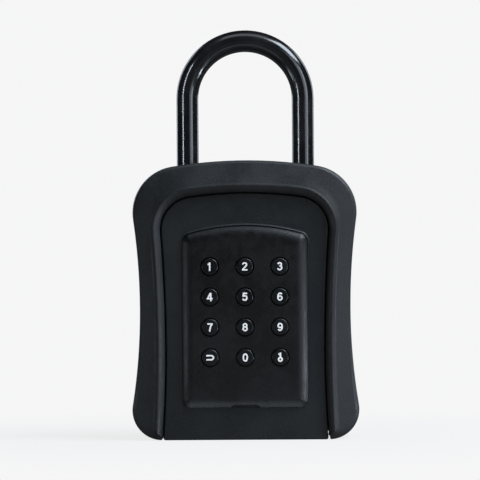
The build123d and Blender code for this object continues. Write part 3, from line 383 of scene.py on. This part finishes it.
# Colour, roughness from and to, then what differs from the usual grain
PLASTICS = {
    "frame_plastic": ((0.0215, 0.0228, 0.0240), (0.46, 0.60), {}),
    "door_plastic": ((0.0129, 0.0146, 0.0157), (0.48, 0.62), {}),
    "panel_plastic": ((0.0024, 0.0029, 0.0034), (0.38, 0.50), {}),
    "key_plastic": ((0.0040, 0.0050, 0.0058), (0.30, 0.42),
                    {"grains": 3600.0, "depth": 0.008 * MM}),
    "case_coat": ((0.0150, 0.0160, 0.0170), (0.50, 0.62), {"grains": 1600.0, "depth": 0.05 * MM}),
    "liner_plastic": ((0.020, 0.021, 0.022), (0.50, 0.62), {"grains": 1900.0}),
    "pad_rubber": ((0.017, 0.017, 0.017), (0.72, 0.85),
                   {"grains": 1400.0, "depth": 0.05 * MM, "specular": 0.3}),
    "seal_rubber": ((0.024, 0.024, 0.024), (0.65, 0.80),
                    {"grains": 2000.0, "depth": 0.02 * MM, "specular": 0.3}),
    "grey_knob": ((0.24, 0.25, 0.26), (0.42, 0.55),
                  {"grains": 2600.0, "depth": 0.01 * MM, "glint_fleck": 1.1, "edge_wear_and_sheen": 1.3}),
    "board_mask": ((0.010, 0.085, 0.032), (0.25, 0.35),
                   {"grains": 1200.0, "depth": 0.006 * MM, "glint_fleck": 1.15, "edge_wear_and_sheen": 1.4}),
    "chip_epoxy": ((0.018, 0.018, 0.019), (0.45, 0.60), {"grains": 3000.0, "depth": 0.008 * MM}),
}

# Colour, roughness from and to, then what differs from the usual lines
METALS = {
    "black_oxide": ((0.045, 0.045, 0.048), (0.35, 0.50), {}),
    "zinc_plate": ((0.62, 0.62, 0.60), (0.22, 0.38), {}),
    "hard_steel": ((0.56, 0.56, 0.57), (0.18, 0.30), {}),
    "die_cast": ((0.42, 0.42, 0.43), (0.45, 0.60), {"lines": 900.0, "depth": 0.03 * MM}),
    "brass": ((0.72, 0.50, 0.20), (0.25, 0.40), {}),
}

MATERIALS = {}
for finish, (colour, shine, extra) in PLASTICS.items():
    MATERIALS[finish] = moulded_plastic(finish, colour, shine, **extra)
for finish, (colour, shine, extra) in METALS.items():
    MATERIALS[finish] = plated_metal(finish, colour, shine, **extra)
MATERIALS["glossy_sleeve"] = glossy_sleeve()
MATERIALS["printed_white"] = printed_white()
MATERIALS["cell_wrap"] = cell_wrap()

# The nodes that have each finish. The twelve keys follow below.
FINISHES = {
    "frame_plastic": ["front_frame"],
    "door_plastic": ["door_shell"],
    "panel_plastic": ["keypad_panel"],
    "case_coat": ["rear_case", "block_cover"],
    "liner_plastic": ["door_liner", "battery_cover"],
    "pad_rubber": ["back_pad"],
    "seal_rubber": ["door_seal", "keypad_membrane"],
    "grey_knob": ["release_knob"],
    "board_mask": ["keypad_board"],
    "chip_epoxy": ["board_chips", "key_switches", "buzzer"],
    "black_oxide": ["case_screws", "hinge_pins"],
    "zinc_plate": ["strike_plate", "strike_screws", "block_screws", "board_screws", "liner_screws",
                   "housing_screws", "key_hook", "heel_clip", "contact_plates", "contact_springs",
                   "motor_body"],
    "hard_steel": ["shackle_core", "shackle_latch", "latch_bolt"],
    "die_cast": ["shackle_block", "latch_housing"],
    "brass": ["motor_gearbox", "drive_pinion"],
    "glossy_sleeve": ["shackle_sleeve"],
    "cell_wrap": ["batteries"],
}
KEYS = [f"key_{name}" for name in (*range(1, 10), 0, "back", "unlock")]


def dress(node, material):
    """Gives a CAD node a finish in the place of its own material."""
    mesh = nodes[node].data
    mesh.materials.clear()
    mesh.materials.append(MATERIALS[material])


for finish, named in FINISHES.items():
    for node in named:
        dress(node, finish)
for node in KEYS:
    dress(node, "key_plastic")


# Figures on the keys: strokes along their middle lines, in millimetres from the middle of the key.
# The first stroke lies FIGURE_LIFT above the key, and each next one STROKE_STEP above the last.

FIGURE_STROKE = 0.62
FIGURE_SCALE = 0.95
FIGURE_LIFT = 0.02
STROKE_STEP = 0.002
SAME_POINT = 0.02
CURVE_STEPS = 6
LEAST_MITRE = 0.5


def squared(value, square):
    """A sine or cosine, drawn nearer to 1 as the squareness goes over 2."""
    return math.copysign(abs(value) ** (2 / square), value)


def oval(x, y, half_wide, half_tall, start=0.0, end=360.0, steps=28, square=2.0):
    """Points round an oval, from one angle to another. A squareness over 2 fills its corners out."""
    points = []
    for step in range(steps + 1):
        turn = math.radians(start + (end - start) * step / steps)
        points.append((x + half_wide * squared(math.cos(turn), square),
                       y + half_tall * squared(math.sin(turn), square)))
    return points


def through(*points):
    """A smooth line through points."""
    line = []
    ends = [points[0], *points, points[-1]]
    for before, first, second, after in zip(ends, ends[1:], ends[2:], ends[3:]):
        for step in range(CURVE_STEPS):
            t = step / CURVE_STEPS
            line.append(tuple(0.5 * (2 * q + (r - p) * t + (2 * p - 5 * q + 4 * r - s) * t * t
                                     + (3 * q - p - 3 * r + s) * t ** 3)
                              for p, q, r, s in zip(before, first, second, after)))
    return line + [points[-1]]


def turned(strokes):
    """The strokes turned by half a turn."""
    return [[(-x, -y) for x, y in stroke] for stroke in strokes]


SIX = [oval(0.02, -0.62, 0.86, 0.88),
       through((-0.84, -0.62), (-0.86, 0.05), (-0.72, 0.85), (-0.38, 1.34), (0.08, 1.50),
               (0.52, 1.38), (0.82, 0.98))]
FIGURES = {
    "key_0": [oval(0, 0, 0.86, 1.50, square=2.3)],
    "key_1": [[(0.02, -1.88), (0.02, 1.88)], through((0.0, 1.66), (-0.32, 1.18), (-0.86, 0.86))],
    "key_2": [through((-0.88, 0.86), (-0.62, 1.36), (-0.02, 1.52), (0.62, 1.32), (0.82, 0.80),
                      (0.60, 0.24), (0.02, -0.36), (-0.55, -0.98), (-0.80, -1.42)),
              [(-1.18, -1.51), (1.20, -1.51)]],
    "key_3": [through((-0.82, 0.92), (-0.52, 1.38), (0.02, 1.51), (0.56, 1.32), (0.72, 0.88),
                      (0.50, 0.42), (-0.12, 0.20)),
              through((-0.10, 0.22), (0.58, 0.04), (0.86, -0.60), (0.60, -1.28), (-0.02, -1.51),
                      (-0.60, -1.32), (-0.88, -0.82))],
    "key_4": [[(0.16, 1.62), (-1.02, -0.72), (1.22, -0.72)], [(0.40, -1.88), (0.40, 1.88)]],
    "key_5": [[(1.00, 1.51), (-0.56, 1.51), (-0.80, 0.10)],
              through((-0.74, 0.10), (-0.30, 0.42), (0.24, 0.40), (0.78, -0.02), (0.84, -0.68),
                      (0.52, -1.32), (-0.06, -1.51), (-0.62, -1.30), (-0.88, -0.84))],
    "key_6": SIX,
    "key_7": [[(-1.18, 1.51), (1.18, 1.51)],
              through((1.00, 1.48), (0.42, 0.72), (0.02, -0.32), (-0.18, -1.88))],
    "key_8": [oval(0, 0.80, 0.74, 0.72), oval(0, -0.68, 0.86, 0.84)],
    "key_9": turned(SIX),
    "key_back": [[(-1.76, 0.90), (0.50, 0.90), *oval(0.50, 0, 0.90, 0.90, 80, -80, 12),
                  (0.50, -0.90), (-1.76, -0.90)]],
    "key_unlock": [oval(0, -0.92, 0.78, 0.78), [(0.04, -0.30), (0.04, 2.06)],
                   [(0.02, 1.44), (-0.92, 1.44)], [(0.02, 0.86), (-0.62, 0.86)]],
}
# The width of each stroke, where it isn't FIGURE_STROKE
OWN_STROKES = {"key_unlock": [0.68, 0.68, 0.54, 0.32]}


def link_piece(name, data):
    """A new object in the scene."""
    piece = bpy.data.objects.new(name, data)
    scene.collection.objects.link(piece)
    return piece


def add_stroke(sheet, line, wide, height):
    """A flat band of one width along a line, with square ends and mitred bends."""
    closed = math.dist(line[0], line[-1]) < SAME_POINT
    points = [Vector(point) * FIGURE_SCALE for point in (line[:-1] if closed else line)]
    count = len(points)
    sides = []
    for index, point in enumerate(points):
        before = points[index - 1] if index or closed else point
        after = points[(index + 1) % count] if index < count - 1 or closed else point
        into = (point - before if before != point else after - point).normalized()
        out = (after - point if after != point else point - before).normalized()
        along = (into + out).normalized()
        across = Vector((-along.y, along.x)) * (wide / 2 / max(along.dot(out), LEAST_MITRE))
        sides.append([sheet.verts.new((*(place * MM), height * MM))
                      for place in (point + across, point - across)])
    for index in range(count if closed else count - 1):
        (a, b), (c, d) = sides[index], sides[(index + 1) % count]
        sheet.faces.new((a, b, d, c))


def print_figure(node, strokes):
    """The white figure printed on a key's front."""
    sheet = bmesh.new()
    widths = OWN_STROKES.get(node, [FIGURE_STROKE] * len(strokes))
    for index, (line, wide) in enumerate(zip(strokes, widths)):
        add_stroke(sheet, line, wide, FIGURE_LIFT + STROKE_STEP * index)
    bmesh.ops.recalc_face_normals(sheet, faces=sheet.faces)
    mesh = bpy.data.meshes.new(node + "_print")
    sheet.to_mesh(mesh)
    sheet.free()
    piece = link_piece(node + "_print", mesh)
    low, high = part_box(node)
    middle = Vector(((low.x + high.x) / 2, low.y, (low.z + high.z) / 2))
    piece.matrix_world = Matrix.Translation(middle) @ Matrix.Rotation(math.radians(90), 4, "X")
    mesh.materials.append(MATERIALS["printed_white"])
    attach(piece, node)


for node, strokes in FIGURES.items():
    print_figure(node, strokes)


# Studio: a pale floor that runs out into a pale background, soft lights and the camera

def seen_strength(tree, unseen):
    """A strength: 1 where the camera sees the surface itself, and another value for its light."""
    seen = tree.nodes.new("ShaderNodeLightPath").outputs["Is Camera Ray"]
    return ramp(tree, seen, 0.0, 1.0, unseen, 1.0)


def make_floor():
    """A pale floor that is as bright as the background, apart from a faint shadow by the object."""
    mesh = bpy.data.meshes.new("floor")
    half = FLOOR_SIZE / 2
    corners = [(-half, -half, 0), (half, -half, 0), (half, half, 0), (-half, half, 0)]
    mesh.from_pydata(corners, [], [(0, 1, 2, 3)])
    floor = link_piece("floor", mesh)
    material, tree, shader = new_material("pale_floor")
    shader.inputs["Base Color"].default_value = FLOOR_COLOUR
    shader.inputs["Roughness"].default_value = FLOOR_ROUGHNESS
    glow = add(tree, "ShaderNodeEmission", Color=PALE)
    tree.links.new(seen_strength(tree, FLOOR_GLOW), glow.inputs["Strength"])
    far = add(tree, "ShaderNodeVectorMath", {"operation": "LENGTH"})
    tree.links.new(object_place(tree), far.inputs[0])
    share = ramp(tree, far.outputs["Value"], FLOOR_NEAR, FLOOR_FAR, 1.0 - FLOOR_SHADE, 1.0)
    mix = tree.nodes.new("ShaderNodeMixShader")
    tree.links.new(share, mix.inputs["Fac"])
    tree.links.new(shader.outputs["BSDF"], mix.inputs[1])
    tree.links.new(glow.outputs["Emission"], mix.inputs[2])
    tree.links.new(mix.outputs["Shader"], tree.nodes["Material Output"].inputs["Surface"])
    mesh.materials.append(material)


def make_world():
    """The pale background, which the camera sees and which lights nothing while AMBIENT is 0."""
    world = bpy.data.worlds.new("studio")
    scene.world = world
    world.use_nodes = True
    tree = world.node_tree
    background = tree.nodes["Background"]
    background.inputs["Color"].default_value = PALE
    tree.links.new(seen_strength(tree, AMBIENT), background.inputs["Strength"])


def add_light(name, place, width, height, watts, target, only):
    """A soft light that points at a target. If one piece is named, it lights that one alone."""
    light = bpy.data.lights.new(name, "AREA")
    light.shape = "RECTANGLE"
    light.size = width
    light.size_y = height
    light.energy = watts
    light.color = LIGHT_TINT
    lamp = link_piece(name, light)
    lamp.visible_camera = False
    lamp.location = place
    lamp.rotation_euler = (Vector(target) - Vector(place)).to_track_quat("-Z", "Y").to_euler()
    if only:
        lit = bpy.data.collections.new(name + "_lights")
        lit.objects.link(nodes[only])
        lamp.light_linking.receiver_collection = lit
        lamp.light_linking.blocker_collection = lit


def around(azimuth, distance, height):
    """A place round the object: azimuth 0 is in front of it, 90 to its right."""
    angle = math.radians(azimuth)
    return (math.sin(angle) * distance, -math.cos(angle) * distance, height)


# Each light: azimuth in degrees, distance, height, width, tallness, watts, the height it points at,
# and the only piece that it lights, if it has one. Nothing else throws a shadow on that piece then,
# so such a light may lie below the floor.
LIGHTS = {
    "key_softbox": (34, 1.0, 0.25, 0.30, 0.90, 1.7, 0.07, None),
    "top_right": (66, 0.56, 0.80, 0.50, 0.40, 7.6, 0.07, None),
    "top_front": (0, 0.25, 0.90, 0.60, 0.40, 1.1, 0.07, None),
    "low_left": (-62, 0.24, 0.05, 0.08, 0.05, 0.045, 0.045, None),
    "low_right": (62, 0.26, 0.005, 0.08, 0.03, 0.26, 0.005, None),
    "low_front": (0, 0.18, 0.004, 0.30, 0.05, 0.03, 0.40, None),
    "back_left": (-140, 1.2, 0.50, 0.40, 0.80, 2.5, 0.085, None),
    "back_right": (140, 1.2, 0.50, 0.40, 0.80, 2.5, 0.085, None),
    "panel_low": (0, 0.055, -0.12, 0.16, 0.05, 0.13, 0.03, "keypad_panel"),
    "rod_streak": (-47, 1.0, 0.20, 0.06, 0.90, 5.2, 0.085, "shackle_sleeve"),
    "rod_glow": (50, 1.0, 0.20, 0.25, 0.90, 3.2, 0.085, "shackle_sleeve"),
}


def make_lights():
    """All the lights of the list."""
    for name, (azimuth, distance, height, width, tall, watts, aim, only) in LIGHTS.items():
        add_light(name, around(azimuth, distance, height), width, tall, watts, (0, 0, aim), only)


def make_camera():
    """The photograph's camera: in front of the door, a little turned and rolled."""
    data = bpy.data.cameras.new("camera")
    camera = link_piece("camera", data)
    data.sensor_width = SENSOR
    data.lens = SENSOR * CAMERA_DISTANCE / (PIXEL * PHOTO_PIXELS)
    data.clip_end = CAMERA_REACH
    aim = Vector((PHOTO_CENTRE_X, DOOR_FRONT, PHOTO_CENTRE_Z))
    turn = Matrix.Rotation(PHOTO_TURN, 4, "Z")
    level = Matrix.Rotation(math.radians(90), 4, "X")
    roll = Matrix.Rotation(-PHOTO_ROLL, 4, "Z")
    back = Matrix.Translation((0, 0, CAMERA_DISTANCE))
    camera.matrix_world = Matrix.Translation(aim) @ turn @ level @ roll @ back
    scene.camera = camera


make_floor()
make_world()
make_lights()
make_camera()
scene.view_settings.view_transform = "Standard"
